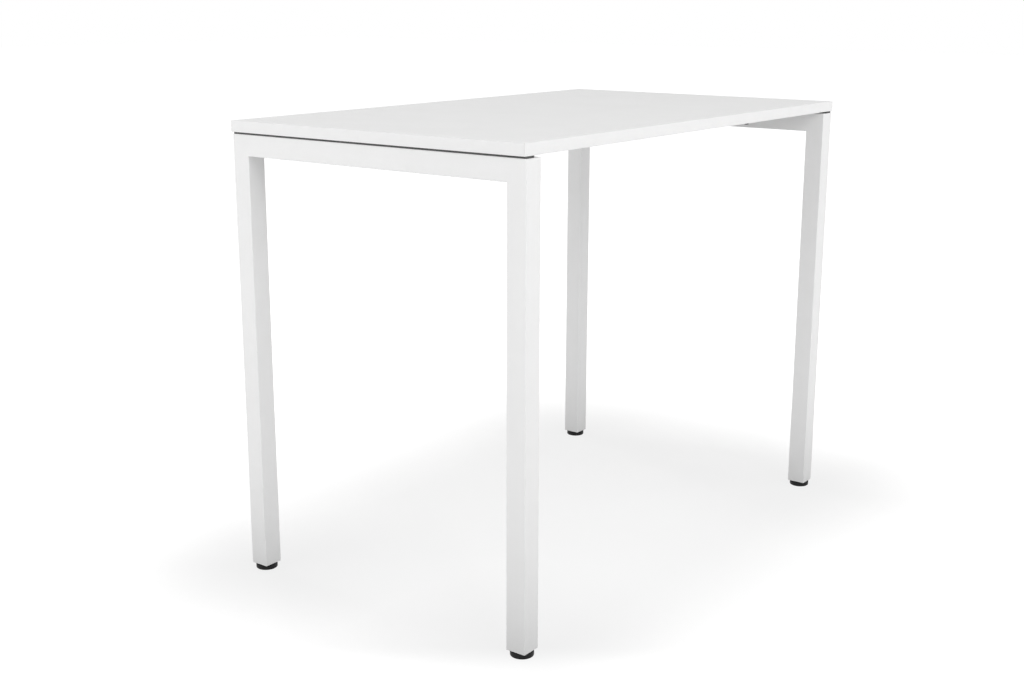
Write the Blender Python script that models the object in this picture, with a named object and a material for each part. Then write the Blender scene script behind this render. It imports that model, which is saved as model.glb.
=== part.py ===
"""High table: a white board on two welded end frames, two hidden rails and four screw feet.

Metres, +Z up. The origin is on the floor under the middle of the top, +X runs along the long side
and +Y along the short side. Front is -Y and left is -X.
"""

from math import cos
from math import pi
from math import radians
from math import sin
from math import sqrt

import bmesh
import bpy

# Overall size
TABLE_LENGTH = 1.350
TABLE_WIDTH = 0.800
TABLE_HEIGHT = 1.050

# Worktop: a coated board with a plastic band on each edge
TOP_THICKNESS = 0.025
BAND_THICKNESS = 0.002
BAND_ROUNDING = 0.001

# End frames, of square tube
TUBE_SIDE = 0.047
TUBE_WALL = 0.0015
TUBE_CORNER = 0.0018
SHADOW_GAP = 0.0045
END_OVERHANG = 0.005
SIDE_OVERHANG = 0.0
FOOT_CLEARANCE = 0.013

# Spacer strips between the frame and the top
STRIP_WIDTH = 0.025
STRIP_SETBACK = 0.002

# Rails under the top, of rectangular tube
RAIL_WIDTH = 0.040
RAIL_DEPTH = 0.030
RAIL_WALL = 0.002
RAIL_CORNER = 0.0025
RAIL_SPACING = 0.372

# Folded seats that are welded to the crossbars and carry the rail ends
SEAT_PLATE = 0.003
SEAT_REACH = 0.030
SEAT_HEIGHT = 0.026

# M8 button head bolts that hold the rails down, with weld nuts inside the rails
BOLT_RADIUS = 0.004
BOLT_LENGTH = 0.016
BOLT_HEAD_RADIUS = 0.007
BOLT_HEAD_HEIGHT = 0.0044
BOLT_HEAD_RIM = 0.0012
BOLT_CROWN_RADIUS = 0.0045
BOLT_SOCKET_FLATS = 0.005
BOLT_SOCKET_DEPTH = 0.0026
BOLT_FROM_CROSSBAR = 0.013
WELD_NUT_FLATS = 0.014
WELD_NUT_HEIGHT = 0.0065

# Pan head screws that hold the top, driven from below
SCREW_RADIUS = 0.0025
SCREW_LENGTH = 0.025
SCREW_POINT = 0.004
SCREW_TIP_RADIUS = 0.0005
SCREW_HEAD_RADIUS = 0.005
SCREW_HEAD_HEIGHT = 0.003
SCREW_HEAD_RIM = 0.0015
SCREW_CROWN_RADIUS = 0.0035
SCREW_ACCESS_RADIUS = 0.006
CROSSBAR_SCREW_PITCH = 0.300
RAIL_SCREW_PITCH = 0.500

# Screw feet: a base, an M10 stem, and a plastic insert with a nut in each leg
BASE_RADIUS = 0.025
BASE_HEIGHT = 0.012
BASE_ROUNDING = 0.0025
BASE_TOP_CHAMFER = 0.0008
BASE_FLOOR = 0.0025
BASE_LIP = 0.0013
STEM_RADIUS = 0.005
STEM_DISC_RADIUS = 0.0077
STEM_DISC_THICKNESS = 0.003
STEM_HEX_FLATS = 0.016
STEM_HEX_HEIGHT = 0.004
STEM_THREAD_LENGTH = 0.046
STEM_CHAMFER = 0.001
INSERT_HEIGHT = 0.030
FOOT_NUT_FLATS = 0.017
FOOT_NUT_HEIGHT = 0.008
FOOT_NUT_COVER = 0.0017

# Clearances
TOUCH_GAP = 0.0003
BORE_GAP = 0.0003
BOLT_HOLE_GAP = 0.0005
INSERT_GAP = 0.0004
SPANNER_GAP = 0.0012

# Smoothness of the round shapes: sides of a foot and of a fastener, steps of a rounded corner
FOOT_SIDES = 24
FASTENER_SIDES = 12
CORNER_STEPS = 3

# Places that follow from the sizes above
TOP_UNDERSIDE = TABLE_HEIGHT - TOP_THICKNESS
FRAME_TOP = TOP_UNDERSIDE - SHADOW_GAP
FRAME_END = TABLE_LENGTH / 2 - END_OVERHANG
FRAME_SIDE = TABLE_WIDTH / 2 - SIDE_OVERHANG
CROSSBAR_INNER_FACE = FRAME_END - TUBE_SIDE
LEG_X = FRAME_END - TUBE_SIDE / 2
LEG_Y = FRAME_SIDE - TUBE_SIDE / 2
STRIP_X = FRAME_END - STRIP_SETBACK - STRIP_WIDTH / 2
STRIP_BOTTOM = FRAME_TOP + TOUCH_GAP
STRIP_TOP = TOP_UNDERSIDE - TOUCH_GAP
RAIL_Y = RAIL_SPACING / 2
RAIL_UNDERSIDE = FRAME_TOP - RAIL_DEPTH
RAIL_INNER_FLOOR = RAIL_UNDERSIDE + RAIL_WALL
SEAT_BACK = CROSSBAR_INNER_FACE - TOUCH_GAP
SEAT_TOP = RAIL_UNDERSIDE - TOUCH_GAP
SEAT_UNDERSIDE = SEAT_TOP - SEAT_PLATE
RAIL_END = SEAT_BACK - SEAT_PLATE - TOUCH_GAP
BOLT_X = CROSSBAR_INNER_FACE - BOLT_FROM_CROSSBAR
STEM_DISC_BOTTOM = BASE_FLOOR + TOUCH_GAP
STEM_DISC_TOP = STEM_DISC_BOTTOM + STEM_DISC_THICKNESS
LIP_BOTTOM = STEM_DISC_TOP + TOUCH_GAP
LIP_TOP = LIP_BOTTOM + BASE_LIP
STEM_HEX_BOTTOM = LIP_TOP + TOUCH_GAP
STEM_HEX_TOP = STEM_HEX_BOTTOM + STEM_HEX_HEIGHT
STEM_TOP = STEM_HEX_TOP + STEM_THREAD_LENGTH
INSERT_TOP = FOOT_CLEARANCE + INSERT_HEIGHT
FOOT_NUT_TOP = INSERT_TOP - FOOT_NUT_COVER
FOOT_NUT_BOTTOM = FOOT_NUT_TOP - FOOT_NUT_HEIGHT
FOOT_NUT_LEDGE = FOOT_NUT_BOTTOM - TOUCH_GAP

# Ends and sides of the table
ENDS = {"left": -1, "right": 1}
SIDES = {"front": -1, "rear": 1}

# Colour (linear), roughness and metallic value of each finish
WHITE_LAMINATE = ((0.86, 0.86, 0.86), 0.42, 0.0)
WHITE_EDGING = ((0.87, 0.87, 0.87), 0.38, 0.0)
WHITE_POWDER_COAT = ((0.85, 0.85, 0.85), 0.45, 0.0)
BLACK_RUBBER = ((0.02, 0.02, 0.02), 0.75, 0.0)
BLACK_PLASTIC = ((0.025, 0.025, 0.026), 0.5, 0.0)
BLACK_STEEL = ((0.03, 0.03, 0.03), 0.4, 0.8)
ZINC_STEEL = ((0.62, 0.63, 0.65), 0.32, 1.0)


def clear_scene():
    """Removes what is in the scene."""
    for old in list(bpy.data.objects):
        bpy.data.objects.remove(old, do_unlink=True)


def directions(sides):
    """The directions of the points of a round loop."""
    return [2 * pi * step / sides for step in range(sides)]


def circle(radius, z, sides=FASTENER_SIDES):
    """A round loop at height z."""
    return [(radius * cos(a), radius * sin(a), z) for a in directions(sides)]


def hexagon(across_flats, z, sides=FASTENER_SIDES):
    """A hexagon with as many points as a circle, so that one can run into the other."""
    points = []
    for a in directions(sides):
        from_flat = (a + pi / 6) % (pi / 3) - pi / 6
        reach = across_flats / 2 / cos(from_flat)
        points.append((reach * cos(a), reach * sin(a), z))
    return points


def square(side, z, sides):
    """A square with as many points as a circle. Its corners need a number of sides that 8 divides."""
    points = []
    for a in directions(sides):
        reach = side / 2 / max(abs(cos(a)), abs(sin(a)))
        points.append((reach * cos(a), reach * sin(a), z))
    return points


def rounded_rectangle(width, height, radius):
    """The outline of a tube about its centre."""
    points = []
    for quarter, (across, up) in enumerate(((1, 1), (-1, 1), (-1, -1), (1, -1))):
        for step in range(CORNER_STEPS + 1):
            a = pi / 2 * (quarter + step / CORNER_STEPS)
            b = up * (height / 2 - radius) + radius * sin(a)
            points.append((across * (width / 2 - radius) + radius * cos(a), b))
    return points


def skin(name, loops, pipe=False):
    """A closed mesh from loop to loop. A pipe's last loop joins its first, and other solids are capped."""
    shape = bmesh.new()
    rings = [[shape.verts.new(point) for point in loop] for loop in loops]
    neighbours = list(zip(rings, rings[1:]))
    if pipe:
        neighbours.append((rings[-1], rings[0]))
    else:
        shape.faces.new(rings[0])
        shape.faces.new(rings[-1])
    for ring, following in neighbours:
        for i in range(len(ring)):
            j = (i + 1) % len(ring)
            shape.faces.new((ring[i], ring[j], following[j], following[i]))
    bmesh.ops.recalc_face_normals(shape, faces=shape.faces)
    mesh = bpy.data.meshes.new(name)
    shape.to_mesh(mesh)
    shape.free()
    mesh.shade_smooth()
    mesh.set_sharp_from_angle(angle=radians(30))
    return mesh


def bar(name, outline, start, end):
    """A solid bar. start and end set a point (a, b) of its outline at either end."""
    return skin(name, [[start(a, b) for a, b in outline], [end(a, b) for a, b in outline]])


def block(name, x, y, z):
    """A plain block between two values along each axis."""
    outline = [(x[0], y[0]), (x[1], y[0]), (x[1], y[1]), (x[0], y[1])]
    return bar(name, outline, lambda a, b: (a, b, z[0]), lambda a, b: (a, b, z[1]))


def tube(name, size, wall, corner, start, end):
    """An open-ended tube of the given size (width, height). start and end place its ends."""
    width, height = size
    outer = rounded_rectangle(width, height, corner)
    inner = rounded_rectangle(width - 2 * wall, height - 2 * wall, corner - wall)
    loops = [
        [start(a, b) for a, b in outer],
        [end(a, b) for a, b in outer],
        [end(a, b) for a, b in inner],
        [start(a, b) for a, b in inner],
    ]
    return skin(name, loops, pipe=True)


def turned(name, profile, sides=FASTENER_SIDES):
    """A turned solid, from the (radius, height) points of its profile."""
    return skin(name, [circle(radius, z, sides) for radius, z in profile])


def nut(name, across_flats, bore, height):
    """A hexagon nut that stands on height 0."""
    loops = [
        hexagon(across_flats, 0),
        hexagon(across_flats, height),
        circle(bore, height),
        circle(bore, 0),
    ]
    return skin(name, loops, pipe=True)


def place(name, mesh, finish, location=(0, 0, 0)):
    """Adds one piece of the table, with a material of its own."""
    colour, roughness, metallic = finish
    material = bpy.data.materials.new(name)
    material.use_nodes = True
    shader = material.node_tree.nodes["Principled BSDF"]
    shader.inputs["Base Color"].default_value = (*colour, 1)
    shader.inputs["Roughness"].default_value = roughness
    shader.inputs["Metallic"].default_value = metallic
    if not mesh.materials:
        mesh.materials.append(None)
    piece = bpy.data.objects.new(name, mesh)
    piece.location = location
    piece.material_slots[0].link = "OBJECT"
    piece.material_slots[0].material = material
    bpy.context.scene.collection.objects.link(piece)
    return piece


def drill(holes, pieces):
    """Cuts every hole, given as (mesh, location), through each piece that it meets."""
    shape = bmesh.new()
    for mesh, location in holes:
        before = len(shape.verts)
        shape.from_mesh(mesh)
        bmesh.ops.translate(shape, vec=location, verts=shape.verts[before:])
    cutter_mesh = bpy.data.meshes.new("fixing_holes")
    shape.to_mesh(cutter_mesh)
    shape.free()
    cutter = bpy.data.objects.new("fixing_holes", cutter_mesh)
    cutter.hide_render = True
    cutter.display_type = "WIRE"
    bpy.context.scene.collection.objects.link(cutter)
    for piece in pieces:
        cut = piece.modifiers.new("fixing_holes", "BOOLEAN")
        cut.operation = "DIFFERENCE"
        cut.solver = "EXACT"
        cut.object = cutter


def worktop():
    """The coated board and its four edge bands. The long bands cover the ends of the short ones."""
    board_x = TABLE_LENGTH / 2 - BAND_THICKNESS - TOUCH_GAP
    board_y = TABLE_WIDTH / 2 - BAND_THICKNESS - TOUCH_GAP
    height = (TOP_UNDERSIDE, TABLE_HEIGHT)
    mesh = block("board", (-board_x, board_x), (-board_y, board_y), height)
    board = place("worktop_board", mesh, WHITE_LAMINATE)

    outline = [(-BAND_THICKNESS, TOP_UNDERSIDE)]
    for step in range(CORNER_STEPS + 1):
        a = pi / 2 * step / CORNER_STEPS
        outline.append((BAND_ROUNDING * (sin(a) - 1), TOP_UNDERSIDE + BAND_ROUNDING * (1 - cos(a))))
    for step in range(CORNER_STEPS + 1):
        a = pi / 2 * step / CORNER_STEPS
        outline.append((BAND_ROUNDING * (cos(a) - 1), TABLE_HEIGHT + BAND_ROUNDING * (sin(a) - 1)))
    outline.append((-BAND_THICKNESS, TABLE_HEIGHT))

    half_length = TABLE_LENGTH / 2
    half_width = TABLE_WIDTH / 2
    for side, sign in SIDES.items():
        mesh = bar(
            "long_band",
            outline,
            lambda a, z: (-half_length, sign * (half_width + a), z),
            lambda a, z: (half_length, sign * (half_width + a), z),
        )
        place(f"edge_band_{side}", mesh, WHITE_EDGING)
    for end, sign in ENDS.items():
        mesh = bar(
            "short_band",
            outline,
            lambda a, z: (sign * (half_length + a), -board_y, z),
            lambda a, z: (sign * (half_length + a), board_y, z),
        )
        place(f"edge_band_{end}", mesh, WHITE_EDGING)
    return board


def leg(side):
    """One leg about its own axis. Its top is mitred, and rises towards the side that faces out."""
    return tube(
        "leg",
        (TUBE_SIDE, TUBE_SIDE),
        TUBE_WALL,
        TUBE_CORNER,
        lambda x, y: (x, y, FOOT_CLEARANCE),
        lambda x, y: (x, y, FRAME_TOP - TUBE_SIDE / 2 + side * y),
    )


def crossbar():
    """The bar between two legs, about the middle of its tube. Its mitres meet those of the legs."""
    middle = FRAME_SIDE - TUBE_SIDE / 2 - TOUCH_GAP * sqrt(2)
    return tube(
        "crossbar",
        (TUBE_SIDE, TUBE_SIDE),
        TUBE_WALL,
        TUBE_CORNER,
        lambda x, z: (x, -middle - z, z),
        lambda x, z: (x, middle + z, z),
    )


def rail():
    """One rail, about the middle of its tube. It ends just short of the seats' upright plates."""
    return tube(
        "rail",
        (RAIL_WIDTH, RAIL_DEPTH),
        RAIL_WALL,
        RAIL_CORNER,
        lambda y, z: (-RAIL_END, y, z),
        lambda y, z: (RAIL_END, y, z),
    )


def rail_seat(end):
    """The folded plate under one end of a rail."""
    tip = SEAT_BACK - SEAT_REACH
    fold = SEAT_BACK - SEAT_PLATE
    top = SEAT_UNDERSIDE + SEAT_HEIGHT
    outline = [
        (SEAT_BACK, SEAT_UNDERSIDE),
        (SEAT_BACK, top),
        (fold, top),
        (fold, SEAT_TOP),
        (tip, SEAT_TOP),
        (tip, SEAT_UNDERSIDE),
    ]
    half = RAIL_WIDTH / 2
    return bar("rail_seat", outline, lambda x, z: (end * x, -half, z), lambda x, z: (end * x, half, z))


def rail_bolt():
    """A button head bolt that points up, with its head under height 0 and a hexagon socket below."""
    crown = -BOLT_HEAD_HEIGHT
    loops = [
        hexagon(BOLT_SOCKET_FLATS, crown + BOLT_SOCKET_DEPTH),
        hexagon(BOLT_SOCKET_FLATS, crown),
        circle(BOLT_CROWN_RADIUS, crown),
        circle(BOLT_HEAD_RADIUS, -BOLT_HEAD_RIM),
        circle(BOLT_HEAD_RADIUS, 0),
        circle(BOLT_RADIUS, 0),
        circle(BOLT_RADIUS, BOLT_LENGTH),
    ]
    return skin("rail_bolt", loops)


def top_screw():
    """A pan head screw that points up, with its head under height 0."""
    profile = [
        (SCREW_CROWN_RADIUS, -SCREW_HEAD_HEIGHT),
        (SCREW_HEAD_RADIUS, -SCREW_HEAD_RIM),
        (SCREW_HEAD_RADIUS, 0),
        (SCREW_RADIUS, 0),
        (SCREW_RADIUS, SCREW_LENGTH - SCREW_POINT),
        (SCREW_TIP_RADIUS, SCREW_LENGTH),
    ]
    return turned("top_screw", profile)


def screw_hole(depth):
    """The hole for one top screw: wide below for the head and driver, narrow above for the shank."""
    shank = SCREW_RADIUS + BORE_GAP
    profile = [
        (SCREW_ACCESS_RADIUS, -depth),
        (SCREW_ACCESS_RADIUS, -depth / 2),
        (shank, -depth / 2),
        (shank, SCREW_LENGTH + TOUCH_GAP),
    ]
    return turned("screw_hole", profile)


def foot_base():
    """The round base. Its socket holds the disc of the stem, and its recess takes the hexagon."""
    recess = STEM_HEX_FLATS / 2 / cos(pi / 6) + SPANNER_GAP
    neck = STEM_RADIUS + BORE_GAP
    socket = STEM_DISC_RADIUS + BORE_GAP
    profile = []
    for step in range(CORNER_STEPS + 1):
        a = pi / 2 * step / CORNER_STEPS
        profile.append((BASE_RADIUS - BASE_ROUNDING * (1 - sin(a)), BASE_ROUNDING * (1 - cos(a))))
    profile += [
        (BASE_RADIUS, BASE_HEIGHT - BASE_TOP_CHAMFER),
        (BASE_RADIUS - BASE_TOP_CHAMFER, BASE_HEIGHT),
        (recess, BASE_HEIGHT),
        (recess, LIP_TOP),
        (neck, LIP_TOP),
        (neck, LIP_BOTTOM),
        (socket, LIP_BOTTOM),
        (socket, BASE_FLOOR),
    ]
    return turned("foot_base", profile, FOOT_SIDES)


def foot_stem():
    """The steel stem: a disc held in the base, a hexagon for a spanner, and the thread."""
    loops = [
        circle(STEM_DISC_RADIUS, STEM_DISC_BOTTOM),
        circle(STEM_DISC_RADIUS, STEM_DISC_TOP),
        circle(STEM_RADIUS, STEM_DISC_TOP),
        circle(STEM_RADIUS, STEM_HEX_BOTTOM),
        hexagon(STEM_HEX_FLATS, STEM_HEX_BOTTOM),
        hexagon(STEM_HEX_FLATS, STEM_HEX_TOP),
        circle(STEM_RADIUS, STEM_HEX_TOP),
        circle(STEM_RADIUS, STEM_TOP - STEM_CHAMFER),
        circle(STEM_RADIUS - STEM_CHAMFER, STEM_TOP),
    ]
    return skin("foot_stem", loops)


def leg_insert():
    """The square plug in the foot of a leg, with a pocket for the nut from above."""
    side = TUBE_SIDE - 2 * TUBE_WALL - 2 * INSERT_GAP
    pocket = FOOT_NUT_FLATS + 2 * TOUCH_GAP
    bore = STEM_RADIUS + BORE_GAP
    loops = [
        square(side, FOOT_CLEARANCE, FOOT_SIDES),
        square(side, INSERT_TOP, FOOT_SIDES),
        hexagon(pocket, INSERT_TOP, FOOT_SIDES),
        hexagon(pocket, FOOT_NUT_LEDGE, FOOT_SIDES),
        circle(bore, FOOT_NUT_LEDGE, FOOT_SIDES),
        circle(bore, FOOT_CLEARANCE, FOOT_SIDES),
    ]
    return skin("leg_insert", loops, pipe=True)


def end_frames():
    """Four legs and two crossbars, with the spacer strip that lies along each crossbar."""
    drilled = []
    crossbar_mesh = crossbar()
    for end, end_sign in ENDS.items():
        for side, side_sign in SIDES.items():
            at = (end_sign * LEG_X, side_sign * LEG_Y, 0)
            place(f"leg_{side}_{end}", leg(side_sign), WHITE_POWDER_COAT, at)
        at = (end_sign * LEG_X, 0, FRAME_TOP - TUBE_SIDE / 2)
        drilled.append(place(f"crossbar_{end}", crossbar_mesh, WHITE_POWDER_COAT, at))
        half_width = STRIP_WIDTH / 2
        half_length = FRAME_SIDE - STRIP_SETBACK
        mesh = block(
            "crossbar_strip",
            (-half_width, half_width),
            (-half_length, half_length),
            (STRIP_BOTTOM, STRIP_TOP),
        )
        at = (end_sign * STRIP_X, 0, 0)
        drilled.append(place(f"crossbar_strip_{end}", mesh, BLACK_RUBBER, at))
    return drilled


def rails():
    """Two rails with their spacer strips, and a seat under each end."""
    drilled = []
    rail_mesh = rail()
    for side, side_sign in SIDES.items():
        y = side_sign * RAIL_Y
        at = (0, y, FRAME_TOP - RAIL_DEPTH / 2)
        drilled.append(place(f"rail_{side}", rail_mesh, WHITE_POWDER_COAT, at))
        half = STRIP_WIDTH / 2
        mesh = block("rail_strip", (-RAIL_END, RAIL_END), (-half, half), (STRIP_BOTTOM, STRIP_TOP))
        drilled.append(place(f"rail_strip_{side}", mesh, BLACK_RUBBER, (0, y, 0)))
        for end, end_sign in ENDS.items():
            mesh = rail_seat(end_sign)
            drilled.append(place(f"rail_seat_{side}_{end}", mesh, WHITE_POWDER_COAT, (0, y, 0)))
    return drilled


def rail_bolts():
    """A bolt and a weld nut at each end of each rail. Returns the holes that they need."""
    holes = []
    bolt_mesh = rail_bolt()
    nut_mesh = nut("weld_nut", WELD_NUT_FLATS, BOLT_RADIUS + BORE_GAP, WELD_NUT_HEIGHT)
    hole = BOLT_RADIUS + BOLT_HOLE_GAP
    hole_mesh = turned("bolt_hole", [(hole, -RAIL_DEPTH / 2), (hole, RAIL_DEPTH / 2)])
    for side, side_sign in SIDES.items():
        for end, end_sign in ENDS.items():
            x = end_sign * BOLT_X
            y = side_sign * RAIL_Y
            at = (x, y, SEAT_UNDERSIDE - TOUCH_GAP)
            place(f"rail_bolt_{side}_{end}", bolt_mesh, BLACK_STEEL, at)
            at = (x, y, RAIL_INNER_FLOOR + TOUCH_GAP)
            place(f"rail_nut_{side}_{end}", nut_mesh, ZINC_STEEL, at)
            holes.append((hole_mesh, (x, y, RAIL_UNDERSIDE)))
    return holes


def top_screws():
    """Three screws along each crossbar and each rail, driven up through the strip into the board.

    Returns the holes that they need.
    """
    holes = []
    screw_mesh = top_screw()
    steps = (-1, 0, 1)
    rows = []
    for end, sign in ENDS.items():
        places = [(sign * STRIP_X, step * CROSSBAR_SCREW_PITCH) for step in steps]
        rows.append((end, places, TUBE_SIDE, TUBE_WALL))
    for side, sign in SIDES.items():
        places = [(step * RAIL_SCREW_PITCH, sign * RAIL_Y) for step in steps]
        rows.append((side, places, RAIL_DEPTH, RAIL_WALL))
    for row, places, depth, wall in rows:
        hole_mesh = screw_hole(depth)
        bearing = FRAME_TOP - wall - TOUCH_GAP
        for number, (x, y) in enumerate(places, start=1):
            place(f"top_screw_{row}_{number}", screw_mesh, ZINC_STEEL, (x, y, bearing))
            holes.append((hole_mesh, (x, y, bearing)))
    return holes


def feet():
    """A base, stem, insert and nut at each leg, all on the leg's axis."""
    base_mesh = foot_base()
    stem_mesh = foot_stem()
    insert_mesh = leg_insert()
    nut_mesh = nut("foot_nut", FOOT_NUT_FLATS, STEM_RADIUS + BORE_GAP, FOOT_NUT_HEIGHT)
    for end, end_sign in ENDS.items():
        for side, side_sign in SIDES.items():
            x = end_sign * LEG_X
            y = side_sign * LEG_Y
            place(f"foot_base_{side}_{end}", base_mesh, BLACK_PLASTIC, (x, y, 0))
            place(f"foot_stem_{side}_{end}", stem_mesh, ZINC_STEEL, (x, y, 0))
            place(f"leg_insert_{side}_{end}", insert_mesh, BLACK_PLASTIC, (x, y, 0))
            place(f"foot_nut_{side}_{end}", nut_mesh, ZINC_STEEL, (x, y, FOOT_NUT_BOTTOM))


clear_scene()
table_board = worktop()
frame_pieces = end_frames()
rail_pieces = rails()
fixing_holes = rail_bolts() + top_screws()
drill(fixing_holes, [table_board] + frame_pieces + rail_pieces)
feet()
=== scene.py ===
"""High table: a white coated top that floats on two welded end frames, with black screw feet.

Metres, +Z up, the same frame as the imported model. Front is -Y and left is -X.
"""

from math import cos
from math import pi
from math import radians
from math import sin

import bmesh
import bpy
from mathutils import Matrix
from mathutils import Vector


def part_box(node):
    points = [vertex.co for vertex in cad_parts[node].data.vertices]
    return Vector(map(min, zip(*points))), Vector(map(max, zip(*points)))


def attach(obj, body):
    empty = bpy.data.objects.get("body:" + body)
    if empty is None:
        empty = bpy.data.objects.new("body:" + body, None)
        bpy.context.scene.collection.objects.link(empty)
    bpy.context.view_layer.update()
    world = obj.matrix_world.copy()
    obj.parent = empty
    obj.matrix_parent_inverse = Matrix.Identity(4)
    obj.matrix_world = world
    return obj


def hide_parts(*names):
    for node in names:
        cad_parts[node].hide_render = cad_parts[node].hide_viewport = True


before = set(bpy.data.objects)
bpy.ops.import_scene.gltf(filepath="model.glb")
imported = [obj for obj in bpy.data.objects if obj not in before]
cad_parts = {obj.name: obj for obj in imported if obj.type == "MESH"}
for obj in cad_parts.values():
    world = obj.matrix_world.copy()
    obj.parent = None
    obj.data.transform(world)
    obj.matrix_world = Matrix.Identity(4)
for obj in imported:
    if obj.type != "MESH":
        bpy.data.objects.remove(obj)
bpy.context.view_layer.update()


# The worktop board
# A 25 mm particle board with white melamine pressed on both faces, sawn to size. The face has the
# fine pearl texture of the press plate, and a low sheen with a few faint rub marks.

MELAMINE_WHITE = (0.88, 0.88, 0.878, 1)
MELAMINE_SHADE = (0.865, 0.865, 0.862, 1)
SHEEN_PATCH = 0.12
RUB_MARK = 0.015
RUB_STRETCH = (1, 0.25, 1)
MELAMINE_ROUGH = (0.36, 0.46)
MELAMINE_GLOSS = 0.2
PEARL_GRAIN = 0.0009
PEARL_HEIGHT = 0.00002
NOISE_LOW = 0.3  # most of a noise lies between these
NOISE_HIGH = 0.7


def new_material(name):
    """A material, its node tree and its shader."""
    made = bpy.data.materials.new(name)
    made.use_nodes = True
    return made, made.node_tree, made.node_tree.nodes["Principled BSDF"]


def grain(tree, size, detail=2.0, stretch=(1, 1, 1)):
    """Noise with grains of that size in metres, in the piece's own coordinates."""
    places = tree.nodes.new("ShaderNodeTexCoord")
    scaled = tree.nodes.new("ShaderNodeMapping")
    scaled.inputs["Scale"].default_value = [along / size for along in stretch]
    texture = tree.nodes.new("ShaderNodeTexNoise")
    texture.inputs["Scale"].default_value = 1
    texture.inputs["Detail"].default_value = detail
    tree.links.new(places.outputs["Object"], scaled.inputs["Vector"])
    tree.links.new(scaled.outputs["Vector"], texture.inputs["Vector"])
    return texture.outputs["Fac"]


def blend_colours(tree, shader, pattern, dark, light):
    """Runs the base colour from dark to light with the pattern."""
    ramp = tree.nodes.new("ShaderNodeValToRGB")
    first, last = ramp.color_ramp.elements
    first.position, first.color = NOISE_LOW, dark
    last.position, last.color = NOISE_HIGH, light
    tree.links.new(pattern, ramp.inputs["Fac"])
    tree.links.new(ramp.outputs["Color"], shader.inputs["Base Color"])


def vary_roughness(tree, shader, pattern, low, high):
    """Runs the roughness from low to high with the pattern."""
    spread = tree.nodes.new("ShaderNodeMapRange")
    spread.inputs["From Min"].default_value = NOISE_LOW
    spread.inputs["From Max"].default_value = NOISE_HIGH
    spread.inputs["To Min"].default_value = low
    spread.inputs["To Max"].default_value = high
    tree.links.new(pattern, spread.inputs["Value"])
    tree.links.new(spread.outputs["Result"], shader.inputs["Roughness"])


def raise_surface(tree, shader, pattern, height):
    """Raises the surface by up to that height with the pattern."""
    relief = tree.nodes.new("ShaderNodeBump")
    relief.inputs["Strength"].default_value = 1
    relief.inputs["Distance"].default_value = height
    tree.links.new(pattern, relief.inputs["Height"])
    tree.links.new(relief.outputs["Normal"], shader.inputs["Normal"])


def melamine():
    """The coated face: faint patches of tone, rub marks along the table and a pearl grain."""
    made, tree, shader = new_material("white_melamine")
    blend_colours(tree, shader, grain(tree, SHEEN_PATCH, 3), MELAMINE_SHADE, MELAMINE_WHITE)
    vary_roughness(tree, shader, grain(tree, RUB_MARK, 4, RUB_STRETCH), *MELAMINE_ROUGH)
    raise_surface(tree, shader, grain(tree, PEARL_GRAIN, 1), PEARL_HEIGHT)
    shader.inputs["Specular IOR Level"].default_value = MELAMINE_GLOSS
    return made


def finish(piece, material):
    """Gives a piece its one material."""
    piece.data.materials.clear()
    piece.data.materials.append(material)


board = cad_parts["worktop_board"]
finish(board, melamine())
board_low, board_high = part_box("worktop_board")


# The edge bands
# Strips of 2 mm white plastic, glued on hot and trimmed flush, with their long edges rounded and
# buffed. The long bands go on last and cover the ends of the short ones.

ENDS = {"left": -1, "right": 1}
SIDES = {"front": -1, "rear": 1}
BAND_ROUND = 0.0011
BAND_ARC_STEPS = 6
GLUE_LINE = 0.00003
CORNER_EASE = 0.0004
SMOOTH_BELOW = 32
EASED_FROM = 60
EASE_STEPS = 3
EDGE_WHITE = (0.865, 0.865, 0.865, 1)
EDGE_SHADE = (0.85, 0.85, 0.848, 1)
EDGE_PATCH = 0.03
BUFFED_SPOT = 0.004
EDGE_ROUGH = (0.3, 0.4)
CUTTER_LINES = 0.0016
CUTTER_STRETCH = (0.05, 0.05, 1)
CUTTER_LINE_HEIGHT = 0.000012


def edge_plastic():
    """Band plastic with the fine lines that the trimming cutter leaves along it."""
    made, tree, shader = new_material("white_edge_band")
    blend_colours(tree, shader, grain(tree, EDGE_PATCH), EDGE_SHADE, EDGE_WHITE)
    vary_roughness(tree, shader, grain(tree, BUFFED_SPOT), *EDGE_ROUGH)
    raise_surface(tree, shader, grain(tree, CUTTER_LINES, 2, CUTTER_STRETCH), CUTTER_LINE_HEIGHT)
    return made


def skin(name, loops, pipe=False, crease=SMOOTH_BELOW):
    """A closed mesh from loop to loop. A pipe's last loop joins its first. Others are capped."""
    shape = bmesh.new()
    rings = [[shape.verts.new(point) for point in loop] for loop in loops]
    neighbours = list(zip(rings, rings[1:]))
    if pipe:
        neighbours.append((rings[-1], rings[0]))
    else:
        shape.faces.new(rings[0])
        shape.faces.new(rings[-1])
    for here, following in neighbours:
        for i in range(len(here)):
            j = (i + 1) % len(here)
            shape.faces.new((here[i], here[j], following[j], following[i]))
    bmesh.ops.recalc_face_normals(shape, faces=shape.faces)
    mesh = bpy.data.meshes.new(name)
    shape.to_mesh(mesh)
    shape.free()
    mesh.shade_smooth()
    mesh.set_sharp_from_angle(angle=radians(crease))
    return mesh


def add(name, mesh, material, body, nodes):
    """Adds a piece that rides on a body and stands for CAD nodes."""
    piece = bpy.data.objects.new(name, mesh)
    bpy.context.scene.collection.objects.link(piece)
    finish(piece, material)
    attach(piece, body)
    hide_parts(*nodes)
    return piece


def ease_edges(piece, width, angle=EASED_FROM):
    """Rounds the sharp edges of a piece by that width."""
    ease = piece.modifiers.new("eased_edges", "BEVEL")
    ease.width = width
    ease.segments = EASE_STEPS
    ease.limit_method = "ANGLE"
    ease.angle_limit = radians(angle)
    ease.harden_normals = True


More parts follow.
